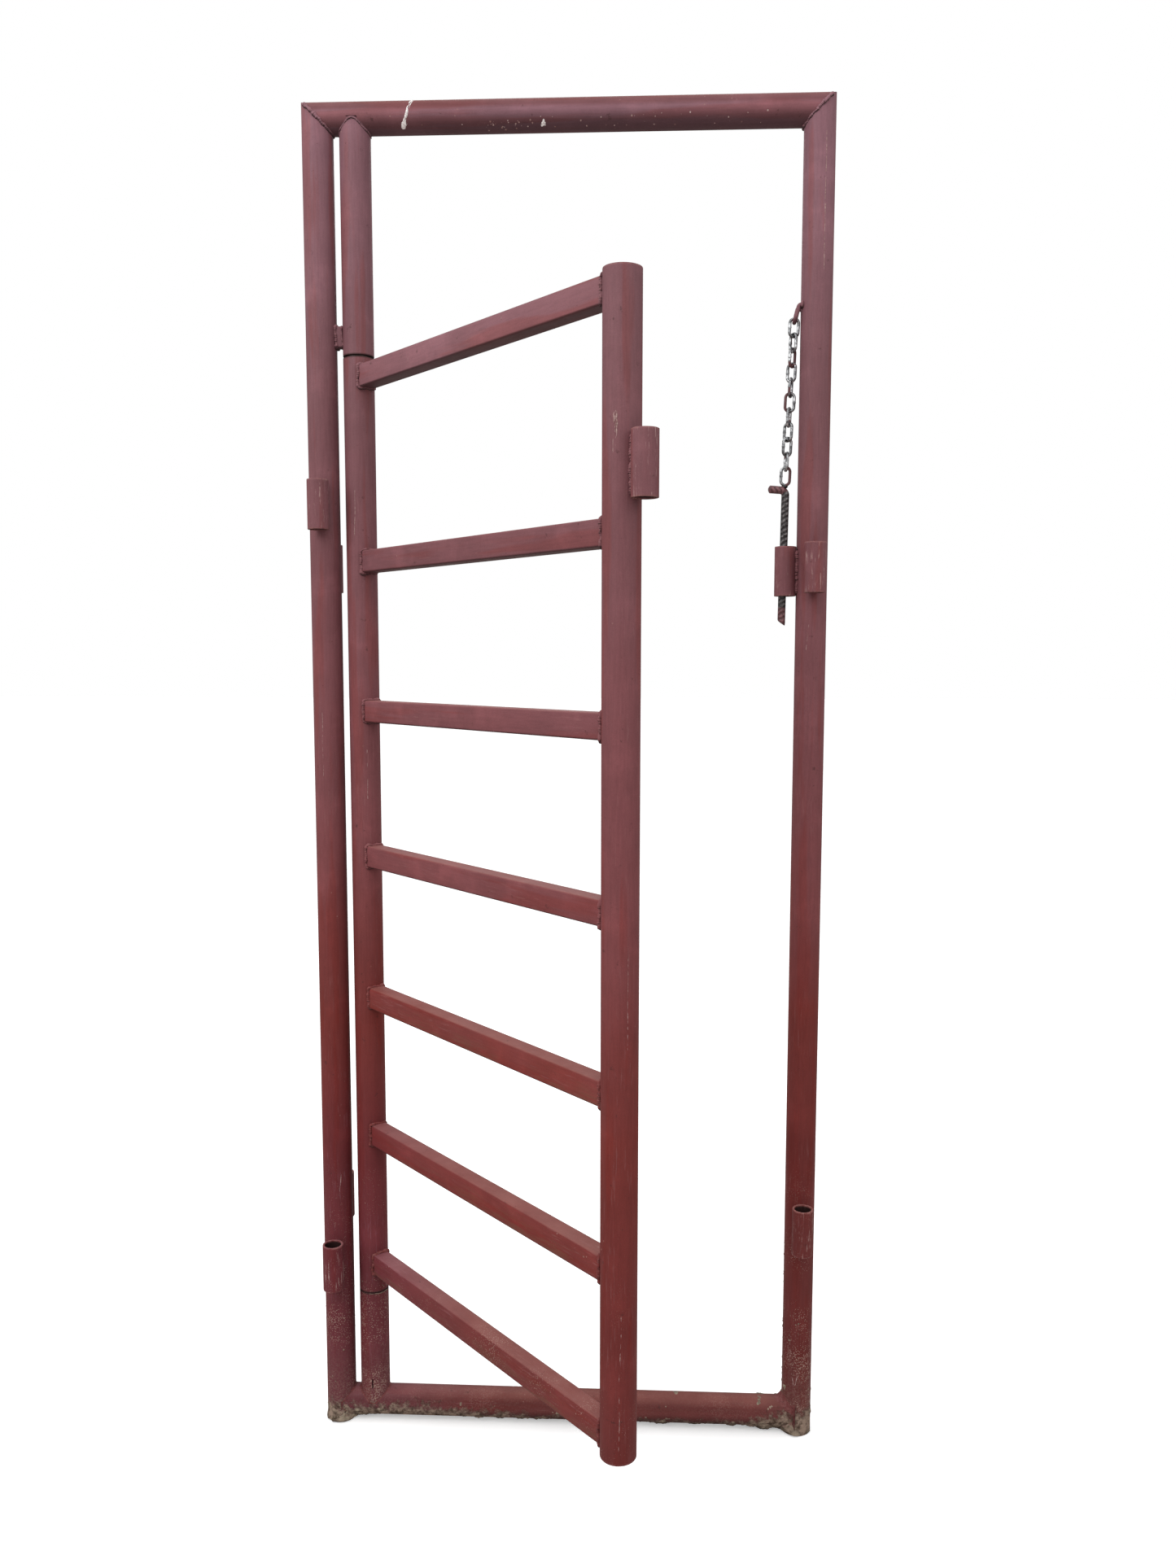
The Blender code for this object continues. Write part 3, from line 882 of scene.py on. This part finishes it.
def make_leaf_welds():
    beads = []
    for number, node in enumerate(BARS):
        level = middle_of(node).z
        block = rounded_box(BAR_THICK + 0.0012, BAR_HIGH + 0.0014, 0.0034, 8)
        for axis, sign in ((0.0, 1.0), (LEAF_WIDTH, -1.0)):
            path = []
            for y, z in block:
                stand = math.sqrt(TUBE_R**2 - y**2)
                stand += 0.45 * (SADDLE_R - stand) + 0.0006
                path.append(LEAF @ Vector((axis + sign * stand, y, level + z)))
            path.append(path[0])
            beads.append(bead(path, 0.0026, UP, number * 2.3 + sign, loop=True))
    stile = LEAF @ Vector((LEAF_WIDTH, 0.0, 0.0))
    latch = middle_of("stile_latch_sleeve")
    low, high = levels_of("stile_latch_sleeve")
    runs = ((low + 0.005, high - 0.005),)
    beads += groove_beads(stile, Vector((latch.x, latch.y, 0.0)), TUBE_R, SLEEVE_R, runs, 31.0)
    piece("leaf_welds", merged(beads, "leaf_welds"), WELD, "leaf")


# ---- chain, staple and pin
CHAIN_TOP = Vector((0.7383, 0.0, 1.8072))
CHAIN_LEAN = math.radians(2.4)
LINK_PITCH = 0.0225
LINK_WIRE = 0.00225
LINK_HALF_WIDTH = 0.0068
LINK_GAP = 0.0003
LINK_LENGTH = LINK_PITCH + 2 * LINK_WIRE + LINK_GAP
LINK_TURNS = (10, 122, 50, 142, 70, 0, 68, 138, 26, 98, 0)
DOWN = Vector((-math.sin(CHAIN_LEAN), 0.0, -math.cos(CHAIN_LEAN)))
ACROSS = Vector((math.cos(CHAIN_LEAN), 0.0, -math.sin(CHAIN_LEAN)))
STAPLE_WIRE = 0.00325
STAPLE_HALF_WIDTH = 0.0085
STAPLE_LEAN = math.radians(14)
STAPLE_LEG = 0.0135
STAPLE_BEND = 0.004
PAINTED_LINKS = {3: (0.0, 1.0), 6: (1.0, 0.0), 11: (0.0, 1.0)}


def make_staple():
    rise = Vector((math.sin(STAPLE_LEAN), 0.0, math.cos(STAPLE_LEAN)))
    post_face = RIGHT_X - TUBE_R + 0.0002
    middle = CHAIN_TOP + rise * STAPLE_HALF_WIDTH
    across = rise.cross(DEPTH)
    bow = arc(middle, DEPTH, -rise, STAPLE_HALF_WIDTH, 0.0, math.pi, 24)
    legs = []
    for side in (-1, 1):
        knee = middle + DEPTH * side * STAPLE_HALF_WIDTH + rise * STAPLE_LEG
        turn = math.pi / 2 - STAPLE_LEAN
        bend = arc(knee - across * STAPLE_BEND, across, rise, STAPLE_BEND, 0.0, turn, 8)
        end = bend[-1].copy()
        end.x = post_face
        legs.append(bend + [end])
    path = list(reversed(legs[1])) + bow + legs[0]
    mesh = swept("chain_staple", path, UP, STAPLE_WIRE, 20)
    piece("chain_staple_shown", mesh, PAINT, replaced=("chain_staple",))
    beads = []
    for leg in legs:
        foot = Vector((post_face + 0.0006, leg[-1].y, leg[-1].z))
        ring = arc(foot, DEPTH, UP, STAPLE_WIRE + 0.0007, 0.0, 2 * math.pi, 16)
        beads.append(bead(ring, 0.0019, RIGHT, leg[-1].y * 900, loop=True))
    piece("staple_welds", merged(beads, "staple_welds"), WELD)


def make_links():
    """Welded oval links, each with a small nub in the middle of one side."""
    first = CHAIN_TOP - DOWN * (STAPLE_WIRE + LINK_WIRE + LINK_GAP)
    for number, turn in enumerate(LINK_TURNS, 1):
        side = ACROSS * math.cos(math.radians(turn)) + DEPTH * math.sin(math.radians(turn))
        centre = first + DOWN * (LINK_PITCH * (number - 1) + LINK_LENGTH / 2)
        reach = LINK_LENGTH / 2 - LINK_HALF_WIDTH
        lower = arc(centre + DOWN * reach, side, DOWN, LINK_HALF_WIDTH, 0.0, math.pi, 18)
        upper = arc(centre - DOWN * reach, side, DOWN, LINK_HALF_WIDTH, math.pi, 2 * math.pi, 18)
        left_side = [lower[-1].lerp(upper[0], k / 10) for k in range(1, 10)]
        right_side = [upper[-1].lerp(lower[0], k / 6) for k in range(1, 6)]
        path = lower + left_side + upper + right_side
        nub_side = left_side if number % 2 else right_side
        nub = nub_side[len(nub_side) // 2]
        left, right = PAINTED_LINKS.get(number, (0.0, 0.0))
        wear = []
        for point in path:
            out = (point - centre).dot(side)
            wear.append(left if out < -0.001 else right if out > 0.001 else 0.0)

        def shape(i, angle):
            gap = (path[i] - nub).length / 0.0011
            return 1.0 + 0.20 * math.exp(-gap * gap)

        node = f"chain_link_{number:02d}"
        mesh = swept(node, path, side.cross(DOWN), LINK_WIRE, 16, loop=True, shape=shape, wear=wear)
        piece(f"{node}_shown", mesh, ZINC, BODY_OF[node], (node,))


PIN_RADIUS = 0.0062
PIN_HANDLE_END = Vector((0.7020, 0.0, 1.5549))
PIN_ELBOW = Vector((0.7290, 0.0, 1.5528))
PIN_TIP = Vector((0.7258, 0.0, 1.3470))
PIN_BEND = 0.008
PIN_CORE = 0.885
PIN_END_ROUND = 0.0035
PIN_SIDES = 48
PIN_CUT_ROWS = 26
RIB_PITCH = 0.0078


def make_pin():
    """Ribbed bar bent to an L: crescent ribs slant round it, and two plain seams run along it."""
    handle = (PIN_HANDLE_END - PIN_ELBOW).normalized()
    shaft = (PIN_TIP - PIN_ELBOW).normalized()
    angle = handle.angle(shaft)
    setback = PIN_BEND / math.tan(angle / 2)
    centre = PIN_ELBOW + (handle + shaft).normalized() * (PIN_BEND / math.sin(angle / 2))
    start = PIN_ELBOW + handle * setback
    towards = (start - centre).normalized()
    bend = arc(centre, towards, -handle, PIN_BEND, 0.0, math.pi - angle, 24)
    path = resampled([PIN_HANDLE_END] + bend + [PIN_TIP], 0.00035)
    lengths = distances(path)
    whole = lengths[-1]

    def rib(i, around):
        """How far up a rib this place is, 0 to 1."""
        along = lengths[i]
        phase = (along + 0.0037 * math.sin(around)) / RIB_PITCH
        crest = min(1.0, max(0.0, 0.5 + 0.95 * math.cos(2 * math.pi * phase)))
        seam_here = abs(math.cos(around))
        fade = min(1.0, max(0.0, (seam_here - 0.12) / 0.22))
        ridge = 0.8 if seam_here < 0.12 else 0.0
        end = min(1.0, min(along, whole - along) / 0.003)
        return max(crest * fade, ridge) * end

    def shape(i, around):
        near = min(lengths[i], PIN_END_ROUND) / PIN_END_ROUND
        round_end = math.sqrt(max(0.05, 1 - (1 - near) ** 2))
        return (PIN_CORE + (1 - PIN_CORE) * rib(i, around)) * round_end

    turns = [2 * math.pi * k / PIN_SIDES for k in range(PIN_SIDES)]
    # how far up a rib each point is, for the painted highlights on the crests
    wear = [[rib(i, t) for t in turns] for i in range(len(path))]
    elbow_at = (PIN_HANDLE_END - PIN_ELBOW).length
    paint = []
    for along in lengths:
        on_handle = min(1.0, max(0.0, 1.0 - (along - elbow_at + 0.003) / 0.006))
        at_tip = min(1.0, max(0.0, (along - whole + 0.034) / 0.012)) * 0.62
        paint.append(max(on_handle, at_tip))
    marks = {"wear": wear, "paint": paint}
    mesh = swept("latch_pin", path, DEPTH, PIN_RADIUS, PIN_SIDES, shape=shape, sharp=35, **marks)
    # the tip is cut off aslant
    slope = math.tan(math.radians(35))
    first_cut = len(path) - PIN_CUT_ROWS
    for vertex in mesh.vertices[first_cut * PIN_SIDES:len(path) * PIN_SIDES]:
        share = (vertex.index // PIN_SIDES - first_cut + 1) / PIN_CUT_ROWS
        vertex.co = vertex.co + shaft * (vertex.co - PIN_TIP).x * slope * share
    piece("latch_pin_shown", mesh, REBAR, "pin", ("latch_pin",))
    spot = PIN_ELBOW + Vector((-0.001, 0.0, 0.0005))
    ring = arc(spot + UP * 0.0052, RIGHT, DEPTH, 0.0027, 0.0, 2 * math.pi, 16)
    weld = merged([bead(ring, 0.0020, UP, 5.0, loop=True)], "pin_weld")
    piece("pin_weld", weld, REBAR, "pin")


# ---- mud, dust and scratches
MUD_SUNK = 0.0006


def mud_shell(place, outline, low, high, depth, step=0.0012):
    """A crust round a tube; depth(point) is its thickness, and below zero it lies hidden in the wall."""
    count = max(3, int((high - low) / step))
    half = max(x for x, y in outline)
    rows = []
    for k in range(count + 1):
        run = low + (high - low) * k / count
        ring = []
        for a, b in outline:
            edge = min(1.0, k / 2, (count - k) / 2)
            above = max(0.0, depth(place(a, b, run)) + MUD_SUNK)
            grow = 1 + (above * edge - MUD_SUNK) / half
            ring.append(place(a * grow, b * grow, run))
        rows.append(ring)
    return skin("crust", rows, sharp=60)


def lumps(point, scale, seed):
    return noise.fractal(point * scale + Vector((seed, seed, 0.0)), 0.9, 2.0, 5)


def make_mud():
    ring = circle(TUBE_R, 120)

    def right_foot(point):
        fall = max(0.0, 1.0 - point.z / 0.046)
        inner = 0.5 + 0.5 * max(-1.0, min(1.0, (RIGHT_X - point.x) / TUBE_R))
        return 0.0050 * lumps(point, 55.0, 3.0) + 0.0082 * fall * (0.4 + 0.6 * inner) - 0.0034

    def left_foot(point):
        fall = max(0.0, 1.0 - point.z / 0.038)
        return 0.0046 * lumps(point, 60.0, 9.0) + 0.0058 * fall - 0.0034

    def rail(point):
        near = max(0.0, 1.0 - (RIGHT_X - TUBE_R - point.x) / 0.075)
        near_left = max(0.0, 1.0 - (point.x - LEFT_X - TUBE_R) / 0.05) * 0.5
        under = max(0.0, (BOTTOM_Z - point.z) / TUBE_R)
        caked = (0.0060 * max(near, near_left) + 0.0036 * under) * (0.25 + 0.75 * under)
        return 0.0050 * lumps(point, 50.0, 5.0) + caked - 0.0040

    crusts = [
        mud_shell(upright_at(RIGHT_X, 0.0), ring, 0.0002, 0.085, right_foot),
        mud_shell(upright_at(LEFT_X, 0.0), ring, 0.0002, 0.060, left_foot),
        mud_shell(along_x_at(BOTTOM_Z), ring, LEFT_X + TUBE_R, RIGHT_X - TUBE_R, rail, 0.0020),
    ]
    piece("mud_crust", kept_inside(merged(crusts, "mud_crust")), MUD_CAKE)


def blob(spot, out, size, seed, flatness=0.45):
    """A small lump half sunk in the surface, pressed flat by its flatness."""
    build = bmesh.new()
    bmesh.ops.create_icosphere(build, subdivisions=2, radius=1.0)
    for vertex in build.verts:
        swell = 1 + 0.35 * noise.noise(vertex.co * 1.7 + Vector((seed, 0.0, 0.0)))
        vertex.co = vertex.co * swell
        flat_part = out * vertex.co.dot(out)
        vertex.co = spot + (vertex.co - flat_part * flatness) * size
    return mesh_of(build, "blob")


def chance(seed):
    """A steady number from 0 to 1 for each seed."""
    return (math.sin(seed * 12.9898 + 4.1414) * 43758.5453) % 1.0


SPECK_SUNK = 0.0002


def post_speck(x, around, height, size, seed):
    out = Vector((math.cos(around), math.sin(around), 0.0))
    return blob(Vector((x, 0.0, height)) + out * (TUBE_R - SPECK_SUNK), out, size, seed)


def make_specks():
    """Flecks of mud: low on both posts, up the right post's inner side, on the rail and on the leaf."""
    bits = []
    for k in range(150):
        post = RIGHT_X if k % 3 else LEFT_X
        height = 0.010 + 0.21 * chance(k) ** 1.7
        around = 2 * math.pi * chance(k + 400.0)
        bits.append(post_speck(post, around, height, 0.0006 + 0.0013 * chance(k + 90.0) ** 3, k))
    for k in range(40):
        height = 0.03 + 0.30 * chance(k + 11.0)
        around = math.pi + 0.5 * (chance(k + 7.0) - 0.5)
        bits.append(post_speck(RIGHT_X, around, height, 0.0008 + 0.0015 * chance(k + 55.0) ** 2, k + 5.0))
    for k in range(60):
        around = math.pi * (1.05 + 0.90 * chance(k + 31.0))
        out = Vector((0.0, math.cos(around), math.sin(around)))
        x = LEFT_X + 0.05 + (RIGHT_X - LEFT_X - 0.1) * chance(k + 77.0)
        spot = Vector((x, 0.0, BOTTOM_Z)) + out * (TUBE_R - SPECK_SUNK)
        bits.append(blob(spot, out, 0.0006 + 0.0012 * chance(k + 3.0) ** 2, k + 50.0))
    piece("mud_specks", kept_inside(merged(bits, "mud_specks")), MUD_CAKE)
    bits = []
    for k in range(50):
        around = 2 * math.pi * chance(k + 61.0)
        height = 0.235 + 0.22 * chance(k + 17.0) ** 2
        bits.append(post_speck(HINGE.x, around, height, 0.0005 + 0.0009 * chance(k + 23.0) ** 2, k + 80.0))
    piece("leaf_mud_specks", merged(bits, "leaf_mud_specks"), MUD_CAKE, "leaf")


def scratch(points, width, seed):
    """A pale scrape: a sliver of the rod shows above the surface that its path follows."""
    path = resampled(points, 0.0012)
    count = len(path)

    def shape(i, angle):
        worn = 0.85 + 1.5 * noise.noise(path[i] * 150.0 + Vector((seed, 0.0, 0.0)))
        return max(0.1, min(1.5, worn)) * min(1.0, 0.4 + min(i, count - 1 - i) * 0.10)

    return swept("scratch", path, (points[1] - points[0]).orthogonal(), width, 6, shape=shape)


FRONT = -math.pi / 2
SCRATCH_SUNK = 0.00018


def upright_scratch(x, angle, low, high, width, seed, drift, matrix):
    """A scratch up a post's surface, at an angle from its front, drifting round it."""
    points = []
    for k in range(17):
        share = k / 16
        wobble = 0.05 * noise.noise(Vector((seed, share * 3.0, 0.0))) + drift * share
        around = FRONT + angle + wobble
        out = Vector((math.cos(around), math.sin(around), 0.0))
        spot = Vector((x, 0.0, low + (high - low) * share)) + out * (TUBE_R - SCRATCH_SUNK)
        points.append(matrix @ spot)
    return scratch(points, width, seed)


# post, angle from its front, low and high ends, width, seed and drift
FRAME_SCRATCHES = (
    (RIGHT_X, 0.30, 1.88, 2.085, 0.00045, 1.0, 0.0),
    (RIGHT_X, 0.31, 1.88, 1.98, 0.00026, 2.0, 0.0),
    (RIGHT_X, -0.40, 1.30, 1.36, 0.00034, 3.0, 0.2),
    (LEFT_X, 0.35, 0.405, 0.440, 0.00045, 4.0, 0.15),
    (LEFT_X, -0.20, 1.10, 1.21, 0.00028, 5.0, 0.0),
    (RIGHT_X, -0.30, 0.085, 0.125, 0.00045, 6.0, 0.5),
    (RIGHT_X, -0.10, 0.070, 0.110, 0.00040, 7.0, -0.4),
)
LEAF_SCRATCHES = (
    (0.0, -0.25, 1.48, 1.56, 0.00045, 8.0, 0.1),
    (0.0, 0.35, 1.06, 1.15, 0.00030, 9.0, 0.0),
    (LEAF_WIDTH, -0.44, 1.525, 1.556, 0.00036, 10.0, 0.0),
    (LEAF_WIDTH, -0.34, 1.538, 1.560, 0.00034, 14.0, 0.12),
    (LEAF_WIDTH, -0.38, 1.562, 1.580, 0.00080, 15.0, 0.0),
    (LEAF_WIDTH, -0.31, 1.556, 1.582, 0.00085, 16.0, 0.0),
    (LEAF_WIDTH, -0.25, 1.552, 1.581, 0.00080, 17.0, 0.0),
    (LEAF_WIDTH, 0.04, 0.275, 0.47, 0.00025, 11.0, 0.10),
    (LEAF_WIDTH, 0.45, 0.80, 0.93, 0.00028, 12.0, 0.0),
)
# along bar 7: place, low and high ends from its middle, and width
BAR_SCRATCHES = ((0.169, -0.007, 0.008, 0.0004), (0.403, 0.004, 0.013, 0.0006))


def make_scratches():
    marks = [upright_scratch(*row, IN_PLACE) for row in FRAME_SCRATCHES]
    piece("frame_scratches", merged(marks, "frame_scratches"), SCUFF)
    marks = [upright_scratch(x, angle - LEAF_TURN, *row, LEAF) for x, angle, *row in LEAF_SCRATCHES]
    face = -BAR_THICK / 2 - 0.00005
    level = middle_of("bar_7").z
    for run, low, high, width in BAR_SCRATCHES:
        points = [LEAF @ Vector((run, face, level + low + (high - low) * k / 4)) for k in range(5)]
        marks.append(scratch(points, width, run))
    piece("leaf_scratches", merged(marks, "leaf_scratches"), SCUFF, "leaf")


def make_splashes():
    """White droppings on the front of the top rail: one run-down streak with a blot, and one blot."""
    def on_rail(x, angle):
        reach = TUBE_R - SPECK_SUNK
        return Vector((x, -reach * math.cos(angle), TOP_Z + reach * math.sin(angle)))

    bits = []
    steps = [k / 10 for k in range(11)]
    points = [on_rail(0.152 - 0.010 * t - 0.004 * t * t, math.radians(70 - 112 * t)) for t in steps]
    runs = ((0.0, 0, 0.0013, 3.0), (-0.0013, 1, 0.0011, 13.0), (0.0018, 0, 0.0007, 4.0))
    for shift, start, width, seed in runs:
        nudge = Vector((shift, 0.0, 0.0))
        bits.append(scratch([point + nudge for point in points[start:]], width, seed))
    spots = (
        (0.1378, -42, 0.0042, 1.0), (0.1374, -52, 0.0037, 2.0), (0.1392, -34, 0.0030, 3.0),
        (0.1440, -42, 0.0015, 4.0), (0.1255, 5, 0.0013, 5.0), (0.1238, 1, 0.0008, 6.0),
        (0.3520, -48, 0.0034, 7.0), (0.3500, -54, 0.0025, 8.0), (0.3530, -38, 0.0022, 9.0),
        (0.3545, -56, 0.0019, 10.0),
    )
    for x, angle, size, seed in spots:
        tilt = math.radians(angle)
        out = Vector((0.0, -math.cos(tilt), math.sin(tilt)))
        bits.append(blob(on_rail(x, tilt), out, size, seed, 0.88))
    piece("rail_splashes", merged(bits, "rail_splashes"), LIME)
    specks = []
    for number in range(150):
        x = 0.20 + 0.50 * chance(number + 0.3)
        tilt = math.radians(-62 + 44 * chance(number + 8.8) ** 2)
        if number % 3 == 0:
            x = 0.262 + 0.058 * chance(number + 1.7)
            tilt = math.radians(-75 + 50 * chance(number + 5.1))
        out = Vector((0.0, -math.cos(tilt), math.sin(tilt)))
        specks.append(blob(on_rail(x, tilt), out, 0.0006 + 0.0010 * chance(number + 4.4) ** 2, number, 0.8))
    piece("rail_specks", merged(specks, "rail_specks"), SPATTER)


def make_hinge_dust():
    """A crescent of dust on the rim of the lower hinge post, in front."""
    centre = Vector((HINGE.x, 0.0, levels_of("lower_hinge_post")[1] - 0.0008))
    path = arc(centre, RIGHT, DEPTH, TUBE_R - 0.0001, math.pi * 1.45, math.pi * 1.95, 30)
    piece("hinge_dust", merged([bead(path, 0.0005, UP, 2.0)], "hinge_dust"), MUD_CAKE)


# ---- studio
def make_world():
    """White behind the object; as a light, bright above and dim low down and behind."""
    world = bpy.data.worlds.new("studio")
    world.use_nodes = True
    make = Graph(world.node_tree)
    place = make.add("ShaderNodeTexCoord").outputs["Generated"]
    above = make.between(make.axis(place, "Z"), -0.05, 0.80, 0.72, 1.32)
    behind = make.between(make.axis(place, "Y"), -0.15, 0.75, 1.0, 0.34)
    from_left = make.between(make.axis(place, "X"), -0.9, 0.6, 1.15, 0.85)
    seen = make.add("ShaderNodeLightPath").outputs["Is Camera Ray"]
    unseen = make.minus(1.0, seen)
    strength = make.plus(seen, make.times(above, behind, from_left, unseen))
    background = make.nodes["Background"]
    make.feed(background.inputs["Strength"], strength)
    make.feed(background.inputs["Color"], (1.0, 1.0, 1.0))
    bpy.context.scene.world = world


FLOOR_REACH = 40.0


def make_floor():
    mesh = bpy.data.meshes.new("floor")
    corners = [(-FLOOR_REACH, -FLOOR_REACH, 0.0), (FLOOR_REACH, -FLOOR_REACH, 0.0)]
    corners += [(FLOOR_REACH, FLOOR_REACH, 0.0), (-FLOOR_REACH, FLOOR_REACH, 0.0)]
    mesh.from_pydata(corners, [], [(0, 1, 2, 3)])
    floor = bpy.data.objects.new("floor", mesh)
    bpy.context.scene.collection.objects.link(floor)
    paper = Shader("pale_floor")
    seen = paper.add("ShaderNodeLightPath").outputs["Is Camera Ray"]
    paper.feed(paper.out.inputs["Emission Color"], (1.0, 1.0, 1.0))
    paper.feed(paper.out.inputs["Emission Strength"], paper.times(seen, 0.30))
    paper.colour = paper.mix(seen, (0.42, 0.37, 0.35), (0.90, 0.90, 0.90))
    mesh.materials.append(paper.finish(0.9, 0.0, None, 0.0))


def make_lamps():
    for name, spot, size, power, aim in (
        ("key", (-2.2, -3.0, 3.6), 2.6, 75.0, (0.4, 0.0, 1.2)),
        ("fill", (3.2, -2.6, 2.2), 2.4, 22.0, (0.4, 0.0, 1.0)),
        ("back", (0.4, 2.8, 3.8), 2.6, 40.0, (0.4, 0.0, 1.4)),
    ):
        lamp = bpy.data.lights.new(name, "AREA")
        lamp.size = size
        lamp.energy = power
        made = bpy.data.objects.new(name, lamp)
        made.location = spot
        made.rotation_euler = (Vector(aim) - Vector(spot)).to_track_quat("-Z", "Y").to_euler()
        bpy.context.scene.collection.objects.link(made)


def make_camera():
    """A plain camera at standing height in front of the gate."""
    yaw = math.radians(-2.733)
    pitch = math.radians(5.720)
    roll = math.radians(0.072)
    forward = Vector((math.sin(yaw) * math.cos(pitch), math.cos(yaw) * math.cos(pitch), -math.sin(pitch)))
    right = Vector((math.cos(yaw), -math.sin(yaw), 0.0))
    up = right.cross(forward)
    tilted = right * math.cos(roll) + up * math.sin(roll)
    upward = up * math.cos(roll) - right * math.sin(roll)
    turn = Matrix((tilted, upward, -forward)).transposed()
    lens = bpy.data.cameras.new("camera")
    lens.sensor_width = 36.0
    lens.lens = 28.368
    camera = bpy.data.objects.new("camera", lens)
    camera.matrix_world = Matrix.Translation((0.5150, -1.9814, 1.2883)) @ turn.to_4x4()
    bpy.context.scene.collection.objects.link(camera)
    bpy.context.scene.camera = camera


make_frame()
make_hinge()
make_bridge()
make_sleeves()
make_bars()
make_frame_welds()
make_leaf_welds()
make_staple()
make_links()
make_pin()
make_mud()
make_specks()
make_scratches()
make_splashes()
make_hinge_dust()
bpy.context.scene.view_settings.view_transform = "Standard"
bpy.context.scene.view_settings.look = "None"
make_world()
make_floor()
make_lamps()
make_camera()
bpy.context.view_layer.update()
